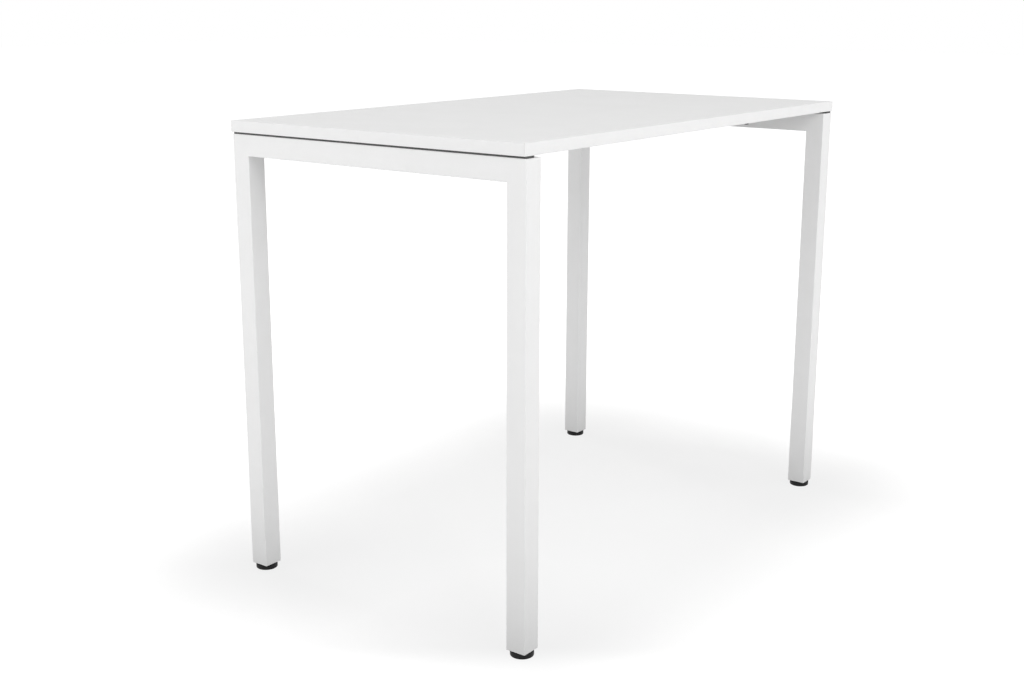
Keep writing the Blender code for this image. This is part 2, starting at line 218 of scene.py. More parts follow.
def quarter(steps):
    """The angles of a quarter turn."""
    return [pi / 2 * step / steps for step in range(steps + 1)]


def band_outline(inner):
    """The section of a band, as (distance from the table's edge, height)."""
    low, high = board_low.z, board_high.z
    turns = quarter(BAND_ARC_STEPS)
    lower = [(BAND_ROUND * (sin(a) - 1), low + BAND_ROUND * (1 - cos(a))) for a in turns]
    upper = [(BAND_ROUND * (cos(a) - 1), high + BAND_ROUND * (sin(a) - 1)) for a in turns]
    return [(-inner, low)] + lower + upper + [(-inner, high)]


band_finish = edge_plastic()
table_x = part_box("edge_band_right")[1].x
table_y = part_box("edge_band_rear")[1].y
band_section = band_outline(table_x - board_high.x - GLUE_LINE)
for side, sign in SIDES.items():
    loops = [[(x, sign * (table_y + a), z) for a, z in band_section] for x in (-table_x, table_x)]
    band = add(
        f"band_{side}", skin(f"band_{side}", loops), band_finish, "root",
        [f"edge_band_{side}"],
    )
    ease_edges(band, CORNER_EASE)
for end, sign in ENDS.items():
    reach = board_high.y
    loops = [[(sign * (table_x + a), y, z) for a, z in band_section] for y in (-reach, reach)]
    add(
        f"band_{end}", skin(f"band_{end}", loops), band_finish, "root",
        [f"edge_band_{end}"],
    )


# The end frames
# Two legs and a crossbar of 47 mm square steel tube with a 1.5 mm wall, mitred, welded and ground
# flush, then powder coated white in one piece. The feet of the legs are left open for the inserts.

FRAME_ROUND = 0.0018
FRAME_WALL = 0.0015
TUBE_ARC_STEPS = 8
WELD_EASE = 0.0007
ACCESS_HOLE = 0.006
SHANK_HOLE = 0.0028
HOLE_SIDES = 32
SCREW_NUMBERS = (1, 2, 3)
COAT_WHITE = (0.865, 0.865, 0.865, 1)
COAT_SHADE = (0.85, 0.85, 0.848, 1)
COAT_PATCH = 0.05
COAT_SPOT = 0.006
COAT_ROUGH = (0.38, 0.5)
ORANGE_PEEL = 0.0018
ORANGE_PEEL_HEIGHT = 0.00003


def powder_coat():
    """Satin powder coat with its faint orange peel."""
    made, tree, shader = new_material("white_powder_coat")
    blend_colours(tree, shader, grain(tree, COAT_PATCH, 3), COAT_SHADE, COAT_WHITE)
    vary_roughness(tree, shader, grain(tree, COAT_SPOT, 3), *COAT_ROUGH)
    raise_surface(tree, shader, grain(tree, ORANGE_PEEL), ORANGE_PEEL_HEIGHT)
    return made


def rounded_rectangle(width, height, radius):
    """The outline of a tube about its centre."""
    points = []
    for turned, (across, up) in enumerate(((1, 1), (-1, 1), (-1, -1), (1, -1))):
        for step in range(TUBE_ARC_STEPS + 1):
            a = pi / 2 * (turned + step / TUBE_ARC_STEPS)
            b = up * (height / 2 - radius) + radius * sin(a)
            points.append((across * (width / 2 - radius) + radius * cos(a), b))
    return points


def tube_through(name, width, height, wall, corner, stations):
    """An open tube. Each station is a function that places a point of its outline."""
    outer = rounded_rectangle(width, height, corner)
    inner = rounded_rectangle(width - 2 * wall, height - 2 * wall, corner - wall)
    loops = [[station(a, b) for a, b in outer] for station in stations]
    loops += [[station(a, b) for a, b in inner] for station in reversed(stations)]
    return skin(name, loops, pipe=True)


def bore(piece, radius, places, low, high):
    """Cuts upright round holes through a piece between two heights."""
    shape = bmesh.new()
    for x, y in places:
        at = Matrix.Translation((x, y, (low + high) / 2))
        bmesh.ops.create_cone(
            shape, cap_ends=True, segments=HOLE_SIDES, radius1=radius, radius2=radius,
            depth=high - low, matrix=at,
        )
    mesh = bpy.data.meshes.new("drill")
    shape.to_mesh(mesh)
    shape.free()
    drill = bpy.data.objects.new("drill", mesh)
    bpy.context.scene.collection.objects.link(drill)
    cut = piece.modifiers.new("bore", "BOOLEAN")
    cut.object = drill
    cut.solver = "EXACT"
    bpy.context.view_layer.update()
    shown = piece.evaluated_get(bpy.context.evaluated_depsgraph_get())
    drilled = bpy.data.meshes.new_from_object(shown)
    piece.modifiers.remove(cut)
    piece.data = drilled
    bpy.data.objects.remove(drill)
    drilled.set_sharp_from_angle(angle=radians(SMOOTH_BELOW))


def middle(node):
    """The centre of a CAD node's box."""
    low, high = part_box(node)
    return (low + high) / 2


powder = powder_coat()
bar_low, bar_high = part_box("crossbar_right")
tube_side = bar_high.z - bar_low.z
leg_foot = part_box("leg_front_right")[0].z
for end, sign in ENDS.items():
    x = sign * (bar_low.x + bar_high.x) / 2
    leg_y = middle(f"leg_rear_{end}").y
    bar_z = bar_high.z - tube_side / 2
    stations = (
        lambda a, b: (x + a, -leg_y - b, leg_foot),
        lambda a, b: (x + a, -leg_y - b, bar_z + b),
        lambda a, b: (x + a, leg_y + b, bar_z + b),
        lambda a, b: (x + a, leg_y + b, leg_foot),
    )
    name = f"end_frame_{end}"
    mesh = tube_through(name, tube_side, tube_side, FRAME_WALL, FRAME_ROUND, stations)
    nodes = [f"leg_front_{end}", f"leg_rear_{end}", f"crossbar_{end}"]
    end_frame = add(name, mesh, powder, "root", nodes)
    screws = [middle(f"top_screw_{end}_{number}").xy for number in SCREW_NUMBERS]
    bore(end_frame, ACCESS_HOLE, screws, bar_low.z - tube_side, bar_z)
    bore(end_frame, SHANK_HOLE, screws, bar_z, bar_high.z + tube_side)
    ease_edges(end_frame, WELD_EASE)


# The spacer strips
# Black rubber strip, 25 mm wide and 4.5 mm thick, stuck along the top of each frame and rail before
# the board goes on. It makes the dark line between the frame and the top, and stops rattles.

STRIP_ROUND = 0.0004
SQUEEZE = 0.00005
RUBBER_BLACK = (0.07, 0.07, 0.07, 1)
RUBBER_GREY = (0.1, 0.1, 0.1, 1)
RUBBER_BLOOM = 0.01
RUBBER_SPOT = 0.003
RUBBER_ROUGH = (0.7, 0.85)
RUBBER_GRAIN = 0.0006
RUBBER_GRAIN_HEIGHT = 0.00003


def rubber():
    """Matt rubber with a faint grey bloom."""
    made, tree, shader = new_material("black_rubber")
    blend_colours(tree, shader, grain(tree, RUBBER_BLOOM, 3), RUBBER_BLACK, RUBBER_GREY)
    vary_roughness(tree, shader, grain(tree, RUBBER_SPOT), *RUBBER_ROUGH)
    raise_surface(tree, shader, grain(tree, RUBBER_GRAIN), RUBBER_GRAIN_HEIGHT)
    return made


strip_finish = rubber()
strips = [(f"crossbar_strip_{end}", f"top_screw_{end}") for end in ENDS]
strips += [(f"rail_strip_{side}", f"top_screw_{side}") for side in SIDES]
bottom, top = bar_high.z + SQUEEZE, board_low.z - SQUEEZE
for node, screw in strips:
    low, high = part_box(node)
    corners = [(low.x, low.y), (high.x, low.y), (high.x, high.y), (low.x, high.y)]
    loops = [[(x, y, z) for x, y in corners] for z in (bottom, top)]
    strip = add(f"spacer_{node}", skin(node, loops), strip_finish, "root", [node])
    places = [middle(f"{screw}_{number}").xy for number in SCREW_NUMBERS]
    bore(strip, SHANK_HOLE, places, bottom - tube_side, top + tube_side)
    ease_edges(strip, STRIP_ROUND)


# The rails
# Two steel tubes, 40 by 30 mm with a 2 mm wall, coated like the frames, that run under the board
# from end to end. Each has three wide holes below for the screwdriver, and a bolt hole at each end.

RAIL_ROUND = 0.0025
RAIL_WALL = 0.002
RAIL_EASE = 0.00035
BOLT_HOLE = 0.0045

for side in SIDES:
    low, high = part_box(f"rail_{side}")
    centre = (low + high) / 2
    stations = (
        lambda a, b: (low.x, centre.y + a, centre.z + b),
        lambda a, b: (high.x, centre.y + a, centre.z + b),
    )
    width, height = high.y - low.y, high.z - low.z
    mesh = tube_through(f"rail_{side}", width, height, RAIL_WALL, RAIL_ROUND, stations)
    long_rail = add(
        f"long_rail_{side}", mesh, powder, "root", [f"rail_{side}"],
    )
    screws = [middle(f"top_screw_{side}_{number}").xy for number in SCREW_NUMBERS]
    bolts = [middle(f"rail_bolt_{side}_{end}").xy for end in ENDS]
    bore(long_rail, ACCESS_HOLE, screws, low.z - tube_side, centre.z)
    bore(long_rail, SHANK_HOLE, screws, centre.z, high.z + tube_side)
    bore(long_rail, BOLT_HOLE, bolts, low.z - tube_side, centre.z)
    ease_edges(long_rail, RAIL_EASE)


# The rail seats
# Angles folded from 3 mm steel plate, welded to the inner face of each crossbar before coating. The
# rail lies on the flat leg of the angle, and one bolt from below holds it down.

SEAT_PLATE = 0.003
FOLD_INNER = 0.0003
FOLD_STEPS = 6
SEAT_EASE = 0.0004
SEAT_EASED_FROM = 75
WELD_BEAD = 0.0016
WELD_RIPPLE = 0.0022
RIPPLE_DEPTH = 0.12
RIPPLE_STEPS = 4
BEAD_START = 0.4
BEAD_SIDES = 12
BEAD_CREASE = 60


def seat_outline(back, tip, low, high):
    """The section of the angle as (x, z): upright at the back, and flat from there to the tip."""
    toward = 1 if back > tip else -1
    outer = FOLD_INNER + SEAT_PLATE
    centre_x = back - toward * outer
    centre_z = low + outer
    turns = quarter(FOLD_STEPS)
    outside = [(centre_x + toward * outer * sin(a), centre_z - outer * cos(a)) for a in turns]
    inside = [
        (centre_x + toward * FOLD_INNER * sin(a), centre_z - FOLD_INNER * cos(a)) for a in turns
    ]
    upright_end = [(back, high), (back - toward * SEAT_PLATE, high)]
    return [(tip, low)] + outside + upright_end + inside[::-1] + [(tip, low + SEAT_PLATE)]


def around(x, y, z, sides, reach):
    """Level points round an upright line. The reach is a function of the angle."""
    turns = [2 * pi * (i + 0.5) / sides for i in range(sides)]
    return [(x + reach(a) * cos(a), y + reach(a) * sin(a), z) for a in turns]


def ring(x, y, z, radius, sides):
    """A level circle."""
    return around(x, y, z, sides, lambda a: radius)


def weld_bead(x, y, low, high):
    """An upright rippled bead of weld, thin where it starts and stops."""
    count = round((high - low) / WELD_RIPPLE) * RIPPLE_STEPS
    loops = []
    for step in range(count + 1):
        z = low + (high - low) * step / count
        run = min(step, count - step) / RIPPLE_STEPS
        ripple = 1 - RIPPLE_DEPTH * (0.5 + 0.5 * cos(2 * pi * step / RIPPLE_STEPS))
        radius = WELD_BEAD * ripple * min(1, BEAD_START + (1 - BEAD_START) * run)
        loops.append(ring(x, y, z, radius, BEAD_SIDES))
    return skin("weld_bead", loops, crease=BEAD_CREASE)


def join_meshes(name, meshes):
    """One mesh made of several."""
    shape = bmesh.new()
    for mesh in meshes:
        shape.from_mesh(mesh)
    joined = bpy.data.meshes.new(name)
    shape.to_mesh(joined)
    shape.free()
    return joined


for end, sign in ENDS.items():
    crossbar_face = sign * bar_low.x
    for side in SIDES:
        tag = f"{side}_{end}"
        low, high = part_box(f"rail_seat_{tag}")
        back, tip = (high.x, low.x) if sign > 0 else (low.x, high.x)
        section = seat_outline(back, tip, low.z, high.z)
        loops = [[(x, y, z) for x, z in section] for y in (low.y, high.y)]
        foot = low.z + SEAT_PLATE
        beads = [weld_bead(crossbar_face, y, foot, high.z) for y in (low.y, high.y)]
        mesh = join_meshes(f"seat_{tag}", [skin("folded_plate", loops)] + beads)
        seat = add(f"seat_{tag}", mesh, powder, "root", [f"rail_seat_{tag}"])
        bolt = [middle(f"rail_bolt_{tag}").xy]
        bore(seat, BOLT_HOLE, bolt, low.z - SEAT_PLATE, low.z + 2 * SEAT_PLATE)
        ease_edges(seat, SEAT_EASE, SEAT_EASED_FROM)


# The rail bolts
# M8 button head bolts in black oxide, put in from below and turned with a 5 mm hexagon key. The
# nuts that they turn in are welded inside the rails, and zinc plated.

CORNERS = [f"{side}_{end}" for end in ENDS for side in SIDES]
BOLT_RADIUS = 0.004
BOLT_SIDES = 48
KEY_FLATS = 0.005
KEY_DEPTH = 0.0026
KEY_POINT = 0.3  # the socket's end, as a share of its flats, then its two depths
KEY_SHOULDER = 0.8
KEY_MOUTH = 0.1
BUTTON_RIM = 0.0007
BUTTON_STEPS = 7
BUTTON_FLAT = 0.0034
BOLT_PITCH = 0.00125
THREAD_DEPTH = 0.61  # as a share of the pitch
THREAD_STEPS = 10
THREAD_CREASE = 50
OXIDE_BLACK = (0.022, 0.022, 0.023, 1)
OXIDE_WORN = (0.04, 0.04, 0.04, 1)
OXIDE_METAL = 0.7
OXIDE_PATCH = 0.002
OXIDE_SPOT = 0.0008
OXIDE_ROUGH = (0.32, 0.48)
OXIDE_GRAIN = 0.0004
OXIDE_GRAIN_HEIGHT = 0.00001
ZINC_DULL = (0.56, 0.57, 0.59, 1)
ZINC_BRIGHT = (0.68, 0.69, 0.7, 1)
ZINC_PATCH = 0.003
ZINC_STREAK = 0.001
STREAK_STRETCH = (1, 1, 0.2)
ZINC_ROUGH = (0.24, 0.38)
ZINC_GRAIN = 0.0005
ZINC_GRAIN_HEIGHT = 0.000008


def black_oxide():
    """Oiled black oxide, a little worn."""
    made, tree, shader = new_material("black_oxide_steel")
    blend_colours(tree, shader, grain(tree, OXIDE_PATCH, 3), OXIDE_BLACK, OXIDE_WORN)
    vary_roughness(tree, shader, grain(tree, OXIDE_SPOT), *OXIDE_ROUGH)
    raise_surface(tree, shader, grain(tree, OXIDE_GRAIN), OXIDE_GRAIN_HEIGHT)
    shader.inputs["Metallic"].default_value = OXIDE_METAL
    return made


def zinc_plate():
    """Bright zinc with faint upright streaks."""
    made, tree, shader = new_material("bright_zinc_plate")
    blend_colours(tree, shader, grain(tree, ZINC_PATCH, 3), ZINC_DULL, ZINC_BRIGHT)
    vary_roughness(tree, shader, grain(tree, ZINC_STREAK, 2, STREAK_STRETCH), *ZINC_ROUGH)
    raise_surface(tree, shader, grain(tree, ZINC_GRAIN), ZINC_GRAIN_HEIGHT)
    shader.inputs["Metallic"].default_value = 1
    return made


def hexagon(x, y, z, flats, sides):
    """A level hexagon with as many points as a ring, and flats that distance apart."""
    return around(x, y, z, sides, lambda a: flats / 2 / cos(a % (pi / 3) - pi / 6))


def domed_head(x, y, z, rise, flat, radius, steps, sides):
    """Rings of a head that curves from its flat end out to its full radius."""
    loops = [ring(x, y, z, flat, sides)]
    for a in quarter(steps)[1:]:
        loops.append(ring(x, y, z + rise * (1 - cos(a)), flat + (radius - flat) * sin(a), sides))
    return loops


def thread(x, y, low, high, radius, pitch, sides):
    """Rings that make a rolled right-hand thread, with a chamfer at the top."""
    depth = THREAD_DEPTH * pitch
    count = round((high - low) / pitch * THREAD_STEPS)
    loops = []
    for step in range(count + 1):
        z = low + (high - low) * step / count
        from_end = min(1, (z - low) / pitch)
        allowed = radius - max(0, depth - (high - z))

        def grooved(a):
            groove = 0.5 - 0.5 * cos(2 * pi * (z / pitch) - a)
            return min(allowed, radius - depth * groove * from_end)

        loops.append(around(x, y, z, sides, grooved))
    return loops


oxide = black_oxide()
zinc = zinc_plate()
for tag in CORNERS:
    low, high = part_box(f"rail_bolt_{tag}")
    x, y = middle(f"rail_bolt_{tag}").xy
    head_radius = (high.x - low.x) / 2
    head_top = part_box(f"rail_seat_{tag}")[0].z
    rise = head_top - BUTTON_RIM - low.z
    loops = [
        hexagon(x, y, low.z + KEY_DEPTH, KEY_FLATS * KEY_POINT, BOLT_SIDES),
        hexagon(x, y, low.z + KEY_DEPTH * KEY_SHOULDER, KEY_FLATS, BOLT_SIDES),
        hexagon(x, y, low.z + KEY_DEPTH * KEY_MOUTH, KEY_FLATS, BOLT_SIDES),
    ]
    loops += domed_head(x, y, low.z, rise, BUTTON_FLAT, head_radius, BUTTON_STEPS, BOLT_SIDES)
    loops.append(ring(x, y, head_top, head_radius, BOLT_SIDES))
    loops += thread(x, y, head_top, high.z, BOLT_RADIUS, BOLT_PITCH, BOLT_SIDES)
    mesh = skin(f"bolt_{tag}", loops, crease=THREAD_CREASE)
    add(f"button_bolt_{tag}", mesh, oxide, "root", [f"rail_bolt_{tag}"])


# The weld nuts
# Zinc plated M8 hexagon nuts, welded inside each rail over its bolt holes before the rail is
# coated. They can't be seen once the table is together.

NUT_SIDES = 36
NUT_FACE = 0.475  # the radius of a face inside its chamfer, as a share of the flats
NUT_CHAMFER = 0.0006
THREAD_CLEAR = 0.0003


def hexagon_nut(name, x, y, low, high, flats, bore_radius):
    """A nut with its six corners chamfered at both faces."""
    loops = [
        ring(x, y, low, flats * NUT_FACE, NUT_SIDES),
        hexagon(x, y, low + NUT_CHAMFER, flats, NUT_SIDES),
        hexagon(x, y, high - NUT_CHAMFER, flats, NUT_SIDES),
        ring(x, y, high, flats * NUT_FACE, NUT_SIDES),
        ring(x, y, high, bore_radius + NUT_CHAMFER, NUT_SIDES),
        ring(x, y, high - NUT_CHAMFER, bore_radius, NUT_SIDES),
        ring(x, y, low + NUT_CHAMFER, bore_radius, NUT_SIDES),
        ring(x, y, low, bore_radius + NUT_CHAMFER, NUT_SIDES),
    ]
    return skin(name, loops, pipe=True)


for tag in CORNERS:
    low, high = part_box(f"rail_nut_{tag}")
    x, y = middle(f"rail_nut_{tag}").xy
    flats = min(high.x - low.x, high.y - low.y)
    name = f"weld_nut_{tag}"
    mesh = hexagon_nut(name, x, y, low.z, high.z, flats, BOLT_RADIUS + THREAD_CLEAR)
    add(name, mesh, zinc, "root", [f"rail_nut_{tag}"])


# The top screws
# Zinc plated pan head chipboard screws, three along each crossbar and each rail. They go in from
# below through the wide holes, and draw the steel and the rubber strip up against the board.

SCREW_SIDES = 36
SCREW_RADIUS = 0.0025
SCREW_PITCH = 0.002
SCREW_POINT = 0.004
SCREW_TIP = 0.0005
PAN_FLAT = 0.0034
PAN_STEPS = 5
PAN_HEIGHT = 0.003
PAN_CROWN = 0.0018
LOBE_RADIUS = 0.0018
LOBE_DEPTH = 0.0004
DRIVE_DEPTH = 0.0018
DRIVE_TAPER = 0.8


def six_lobes(x, y, z, size):
    """A level ring with six rounded lobes, for the driver."""
    radius, depth = size * LOBE_RADIUS, size * LOBE_DEPTH
    return around(x, y, z, SCREW_SIDES, lambda a: radius + depth * cos(6 * a))


for row in list(ENDS) + list(SIDES):
    for number in SCREW_NUMBERS:
        node = f"top_screw_{row}_{number}"
        low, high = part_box(node)
        x, y = middle(node).xy
        head_radius = (high.x - low.x) / 2
        head_top = low.z + PAN_HEIGHT
        loops = [
            six_lobes(x, y, low.z + DRIVE_DEPTH, DRIVE_TAPER),
            six_lobes(x, y, low.z, 1),
        ]
        loops += domed_head(x, y, low.z, PAN_CROWN, PAN_FLAT, head_radius, PAN_STEPS, SCREW_SIDES)
        loops.append(ring(x, y, head_top, head_radius, SCREW_SIDES))
        point = high.z - SCREW_POINT
        loops += thread(x, y, head_top, point, SCREW_RADIUS, SCREW_PITCH, SCREW_SIDES)
        loops.append(ring(x, y, high.z, SCREW_TIP, SCREW_SIDES))
        mesh = skin(node, loops, crease=THREAD_CREASE)
        add(f"pan_{node}", mesh, zinc, "root", [node])


# The leg inserts and their nuts
# Black nylon plugs, hammered into the open feet of the legs. Each holds a zinc plated M10 nut in a
# pocket from above, so that the load presses the nut down into the plastic.

INSERT_EASE = 0.001
INSERT_CORNER = 0.0012
STEM_RADIUS = 0.005
FOOT_NUT_FLATS = 0.017
POCKET_CLEAR = 0.0003
NYLON_BLACK = (0.008, 0.008, 0.0085, 1)
NYLON_WORN = (0.016, 0.016, 0.0165, 1)
NYLON_GLOSS = 0.2
NYLON_SCUFF = 0.012
NYLON_SPOT = 0.004
NYLON_ROUGH = (0.42, 0.58)
MOULD_GRAIN = 0.0007
MOULD_GRAIN_HEIGHT = 0.00004


def black_nylon():
    """Moulded nylon with a fine spark-eroded grain, a little scuffed."""
    made, tree, shader = new_material("black_moulded_nylon")
    blend_colours(tree, shader, grain(tree, NYLON_SCUFF, 4), NYLON_BLACK, NYLON_WORN)
    vary_roughness(tree, shader, grain(tree, NYLON_SPOT, 3), *NYLON_ROUGH)
    raise_surface(tree, shader, grain(tree, MOULD_GRAIN), MOULD_GRAIN_HEIGHT)
    shader.inputs["Specular IOR Level"].default_value = NYLON_GLOSS
    return made


nylon = black_nylon()
pocket = FOOT_NUT_FLATS + 2 * POCKET_CLEAR
stem_hole = STEM_RADIUS + THREAD_CLEAR
for tag in CORNERS:
    low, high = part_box(f"leg_insert_{tag}")
    nut_low, nut_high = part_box(f"foot_nut_{tag}")
    x, y = middle(f"leg_insert_{tag}").xy
    width = high.x - low.x
    eased = width - 2 * INSERT_EASE
    foot_outline = rounded_rectangle(eased, eased, INSERT_CORNER)
    body_outline = rounded_rectangle(width, width, INSERT_CORNER)
    ledge = nut_low.z - POCKET_CLEAR
    count = len(body_outline)
    loops = [
        [(x + a, y + b, low.z) for a, b in foot_outline],
        [(x + a, y + b, low.z + INSERT_EASE) for a, b in body_outline],
        [(x + a, y + b, high.z) for a, b in body_outline],
        hexagon(x, y, high.z, pocket, count),
        hexagon(x, y, ledge, pocket, count),
        ring(x, y, ledge, stem_hole, count),
        ring(x, y, low.z, stem_hole, count),
    ]
    mesh = skin(f"insert_{tag}", loops, pipe=True)
    add(f"foot_insert_{tag}", mesh, nylon, "root", [f"leg_insert_{tag}"])
    name = f"held_nut_{tag}"
    mesh = hexagon_nut(name, x, y, nut_low.z, nut_high.z, FOOT_NUT_FLATS, stem_hole)
    add(name, mesh, zinc, "root", [f"foot_nut_{tag}"])


# The stems of the feet
# Zinc plated M10 studs, turned from bar with a spanner hexagon near the foot and a disc that the
# base snaps over. Turning the hexagon levels the table.

STEM_PITCH = 0.0015
STEM_SIDES = 36
DISC_RADIUS = 0.0077
DISC_THICK = 0.003
DISC_EASE = 0.0004
HEX_FLATS = 0.016
HEX_HIGH = 0.004
HEX_ABOVE_DISC = 0.0049
HEX_CHAMFER = 0.0005

for tag in CORNERS:
    node = f"foot_stem_{tag}"
    low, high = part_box(node)
    x, y = middle(node).xy
    hex_low = low.z + HEX_ABOVE_DISC
    hex_high = hex_low + HEX_HIGH
    loops = [
        ring(x, y, low.z, DISC_RADIUS - DISC_EASE, STEM_SIDES),
        ring(x, y, low.z + DISC_EASE, DISC_RADIUS, STEM_SIDES),
        ring(x, y, low.z + DISC_THICK - DISC_EASE, DISC_RADIUS, STEM_SIDES),
        ring(x, y, low.z + DISC_THICK, DISC_RADIUS - DISC_EASE, STEM_SIDES),
        ring(x, y, low.z + DISC_THICK, STEM_RADIUS, STEM_SIDES),
        ring(x, y, hex_low, STEM_RADIUS, STEM_SIDES),
        ring(x, y, hex_low, HEX_FLATS * NUT_FACE, STEM_SIDES),
        hexagon(x, y, hex_low + HEX_CHAMFER, HEX_FLATS, STEM_SIDES),
        hexagon(x, y, hex_high - HEX_CHAMFER, HEX_FLATS, STEM_SIDES),
        ring(x, y, hex_high, HEX_FLATS * NUT_FACE, STEM_SIDES),
    ]
    loops += thread(x, y, hex_high, high.z, STEM_RADIUS, STEM_PITCH, STEM_SIDES)
    mesh = skin(f"stem_{tag}", loops, crease=THREAD_CREASE)
    add(f"threaded_stem_{tag}", mesh, zinc, f"stem_{tag}", [node])


# The bases of the feet
# Round black nylon mouldings, 50 mm across, with a rounded lower edge that slides over a floor. A
# lip inside snaps over the disc of the stem and leaves the base free to turn.

BASE_SIDES = 96
LOWER_ROUND = 0.0025
UPPER_ROUND = 0.0008
ROUND_STEPS = 6
BASE_FLOOR = 0.0025
LIP_LOW = 0.0061
LIP_TOP = 0.0074
SPANNER_ROOM = 0.0012
RECESS_RADIUS = HEX_FLATS / 2 / cos(pi / 6) + SPANNER_ROOM
FIT_CLEAR = 0.0003

for tag in CORNERS:
    node = f"foot_base_{tag}"
    low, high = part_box(node)
    x, y = middle(node).xy
    radius = (high.x - low.x) / 2
    profile = []
    for a in quarter(ROUND_STEPS):
        profile.append((radius - LOWER_ROUND * (1 - sin(a)), LOWER_ROUND * (1 - cos(a))))
    for a in quarter(ROUND_STEPS):
        z = high.z - UPPER_ROUND * (1 - sin(a))
        profile.append((radius - UPPER_ROUND * (1 - cos(a)), z))
    profile += [
        (RECESS_RADIUS + FIT_CLEAR, high.z),
        (RECESS_RADIUS, high.z - FIT_CLEAR),
        (RECESS_RADIUS, LIP_TOP),
        (STEM_RADIUS + FIT_CLEAR, LIP_TOP),
        (STEM_RADIUS + FIT_CLEAR, LIP_LOW),
        (DISC_RADIUS + FIT_CLEAR, LIP_LOW),
        (DISC_RADIUS + FIT_CLEAR, BASE_FLOOR),
    ]
    mesh = skin(f"base_{tag}", [ring(x, y, low.z + z, r, BASE_SIDES) for r, z in profile])
    add(f"round_base_{tag}", mesh, nylon, f"foot_{tag}", [node])


# The floor and the light
# A seamless white studio floor. Besides the shadow that the lamps cast, its glow to the camera is
# kept low under the table and round the feet, which paints a soft shadow there, and it shows pure
# white away from it. Near the feet it is nearly black to bounced light, which paints shade onto the
# lower legs, and a painted patch of light lies in front of the near corner. Large soft boxes and an
# even surround light the table at a plain level.

FLOOR_CORNERS = ((-30, -30), (30, -30), (30, 30), (-30, 30))
FLOOR_DROP = 0.0005  # so the top of a base that is screwed fully out doesn't lie in the floor
FLOOR_ALBEDO = 0.6
FOOT_SHADE_ALBEDO = 0.05  # nearly black at a foot to bounced light, which paints shade onto the lower legs
FOOT_REACH = 0.5
TABLE_SHADOW_GLOW = 0.38  # the floor's glow between the feet, kept low: painted shadow of the table
# the glow at a foot: makes up for its dark albedo and sets the tone of a painted shadow round the
# foot
FOOT_SHADOW_GLOW = 0.83
FAR_LIFT = 0.9
# how far out from the table the painted shadow fades to white
TABLE_SHADOW_REACH = 1.0
# painted light on the floor in front of the near corner
CORNER_PAINTED_LIGHT = 0.12
CORNER_WAY = (-0.805, -0.594, 0)  # from the middle out over the front left foot
CORNER_FADE = (0.70, 0.84)  # metres along that way
SURROUND = 0.44
LIGHT_AIM = (0, 0, 0.6)
LIGHT_SIDE = 2.4
LIGHT_BOXES = {
    "front_box": ((-1.6, -3.4, 3.2), 50),
    "left_box": ((-3.8, 0.6, 2.6), 20),
    "low_left_box": ((-3.4, 1.6, 1.2), 31),
    "rear_box": ((0.5, 3.8, 2.6), 50),
    "right_box": ((2.2, -3.6, 2.6), 30),
    "low_front_box": ((0.6, -3.8, 1.2), 22),
    "fill_box": ((-3.2, -2.6, 1.6), 14),
}


def shown_rays(tree, strength):
    """That strength for camera, glossy and transmission rays, and nothing for the rest."""
    path = tree.nodes.new("ShaderNodeLightPath")
    total = path.outputs["Is Camera Ray"]
    for kind in ("Is Glossy Ray", "Is Transmission Ray"):
        both = tree.nodes.new("ShaderNodeMath")
        both.operation = "ADD"
        both.use_clamp = True
        tree.links.new(total, both.inputs[0])
        tree.links.new(path.outputs[kind], both.inputs[1])
        total = both.outputs["Value"]
    scaled = tree.nodes.new("ShaderNodeMath")
    scaled.operation = "MULTIPLY"
    scaled.inputs[1].default_value = strength
    tree.links.new(total, scaled.inputs[0])
    return scaled


def smooth_fade(tree, distance, start, stop, low, high):
    """Goes smoothly from low to high between two distances."""
    fade = tree.nodes.new("ShaderNodeMapRange")
    fade.interpolation_type = "SMOOTHSTEP"
    fade.inputs["From Min"].default_value = start
    fade.inputs["From Max"].default_value = stop
    fade.inputs["To Min"].default_value = low
    fade.inputs["To Max"].default_value = high
    tree.links.new(distance, fade.inputs["Value"])
    return fade.outputs["Result"]


def distance_fade(tree, foot, reach, near, far, from_table=False):
    """Fades over the floor with the distance to the nearest foot, or to the floor between them."""
    places = tree.nodes.new("ShaderNodeTexCoord")
    steps = [("ABSOLUTE", None), ("SUBTRACT", foot)]
    if from_table:
        steps.append(("MAXIMUM", (0, 0, 0)))
    steps.append(("LENGTH", None))
    reached = places.outputs["Object"]
    for operation, value in steps:
        step = tree.nodes.new("ShaderNodeVectorMath")
        step.operation = operation
        if value:
            step.inputs[1].default_value = value
        tree.links.new(reached, step.inputs[0])
        reached = step.outputs["Value" if operation == "LENGTH" else "Vector"]
    return smooth_fade(tree, reached, 0, reach, near, far)


def painted_corner_light(tree):
    """Paints light on the floor in front of the near corner of the table."""
    places = tree.nodes.new("ShaderNodeTexCoord")
    along = tree.nodes.new("ShaderNodeVectorMath")
    along.operation = "DOT_PRODUCT"
    along.inputs[1].default_value = CORNER_WAY
    tree.links.new(places.outputs["Object"], along.inputs[0])
    return smooth_fade(tree, along.outputs["Value"], *CORNER_FADE, 0, CORNER_PAINTED_LIGHT)


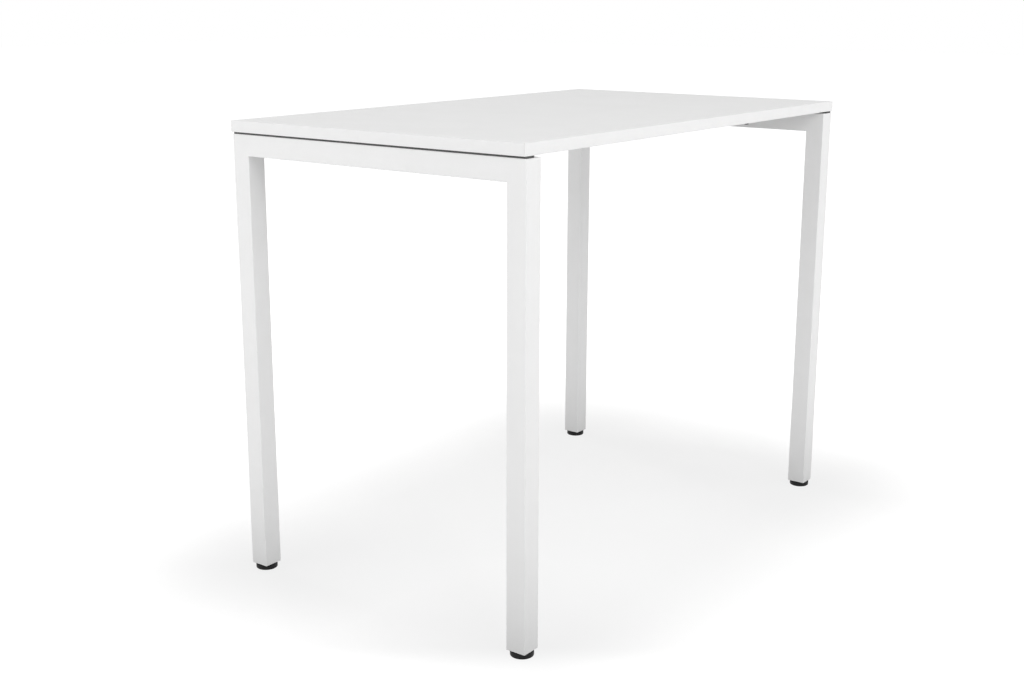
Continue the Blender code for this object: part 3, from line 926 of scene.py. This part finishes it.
def floor_material():
    made = bpy.data.materials.new("studio_floor")
    made.use_nodes = True
    tree = made.node_tree
    tree.nodes.remove(tree.nodes["Principled BSDF"])
    foot = (*middle("foot_base_rear_right").xy, 0)
    matt = tree.nodes.new("ShaderNodeBsdfDiffuse")
    # Nearly black near the feet to bounced light: painted shade on the lower legs.
    albedo = distance_fade(tree, foot, FOOT_REACH, FOOT_SHADE_ALBEDO, FLOOR_ALBEDO)
    tree.links.new(albedo, matt.inputs["Color"])
    # The glow seen by the camera, lower between the feet than away from the table: painted shadow.
    lift = distance_fade(tree, foot, FOOT_REACH, FOOT_SHADOW_GLOW, TABLE_SHADOW_GLOW)
    # The glow rises away from the table, so that it stays low under it as a painted shadow of the
    # table.
    painted_shadow_fade = distance_fade(tree, foot, TABLE_SHADOW_REACH, 0, FAR_LIFT - TABLE_SHADOW_GLOW, from_table=True)
    # Adds the rise away from the table and the painted light in front of the near corner.
    for more in (painted_shadow_fade, painted_corner_light(tree)):
        both = tree.nodes.new("ShaderNodeMath")
        both.operation = "ADD"
        tree.links.new(lift, both.inputs[0])
        tree.links.new(more, both.inputs[1])
        lift = both.outputs["Value"]
    glow = tree.nodes.new("ShaderNodeEmission")
    shown = shown_rays(tree, 1)
    tree.links.new(lift, shown.inputs[1])
    tree.links.new(shown.outputs["Value"], glow.inputs["Strength"])
    both = tree.nodes.new("ShaderNodeAddShader")
    tree.links.new(matt.outputs["BSDF"], both.inputs[0])
    tree.links.new(glow.outputs["Emission"], both.inputs[1])
    tree.links.new(both.outputs["Shader"], tree.nodes["Material Output"].inputs["Surface"])
    return made


def light_box(name, place, power):
    """A square soft box that points at the table, and isn't seen in its gloss."""
    lamp = bpy.data.lights.new(name, "AREA")
    lamp.shape = "SQUARE"
    lamp.size = LIGHT_SIDE
    lamp.energy = power
    hung = bpy.data.objects.new(name, lamp)
    hung.location = place
    hung.visible_glossy = False
    hung.rotation_euler = (Vector(place) - Vector(LIGHT_AIM)).to_track_quat("Z", "Y").to_euler()
    bpy.context.scene.collection.objects.link(hung)


floor_mesh = bpy.data.meshes.new("studio_floor")
floor_mesh.from_pydata([(x, y, -FLOOR_DROP) for x, y in FLOOR_CORNERS], [], [range(4)])
studio_floor = bpy.data.objects.new("studio_floor", floor_mesh)
studio_floor.data.materials.append(floor_material())
bpy.context.scene.collection.objects.link(studio_floor)
for name, (place, power) in LIGHT_BOXES.items():
    light_box(name, place, power)

world = bpy.data.worlds.new("studio_surround")
world.use_nodes = True
bpy.context.scene.world = world
lit = world.node_tree.nodes.new("ShaderNodeMath")
lit.operation = "ADD"
lit.inputs[1].default_value = SURROUND
world.node_tree.links.new(shown_rays(world.node_tree, 1 - SURROUND).outputs["Value"], lit.inputs[0])
surround = world.node_tree.nodes["Background"]
surround.inputs["Color"].default_value = (1, 1, 1, 1)
world.node_tree.links.new(lit.outputs["Value"], surround.inputs["Strength"])


# The camera
# A slightly long lens, 1.3 m above the floor and off the front left corner of the table. It is
# tilted down by 14 degrees.

CAMERA_PLACE = (-2.74798, -1.92834, 1.31448)
CAMERA_TILT = 76.004
CAMERA_LEAN = -0.099
CAMERA_TURN = -53.054
CAMERA_LENS = 48.746

camera = bpy.data.objects.new("camera", bpy.data.cameras.new("camera"))
camera.data.lens = CAMERA_LENS
camera.location = CAMERA_PLACE
camera.rotation_euler = [radians(a) for a in (CAMERA_TILT, CAMERA_LEAN, CAMERA_TURN)]
bpy.context.scene.collection.objects.link(camera)
bpy.context.scene.camera = camera
bpy.context.scene.view_settings.view_transform = "Standard"
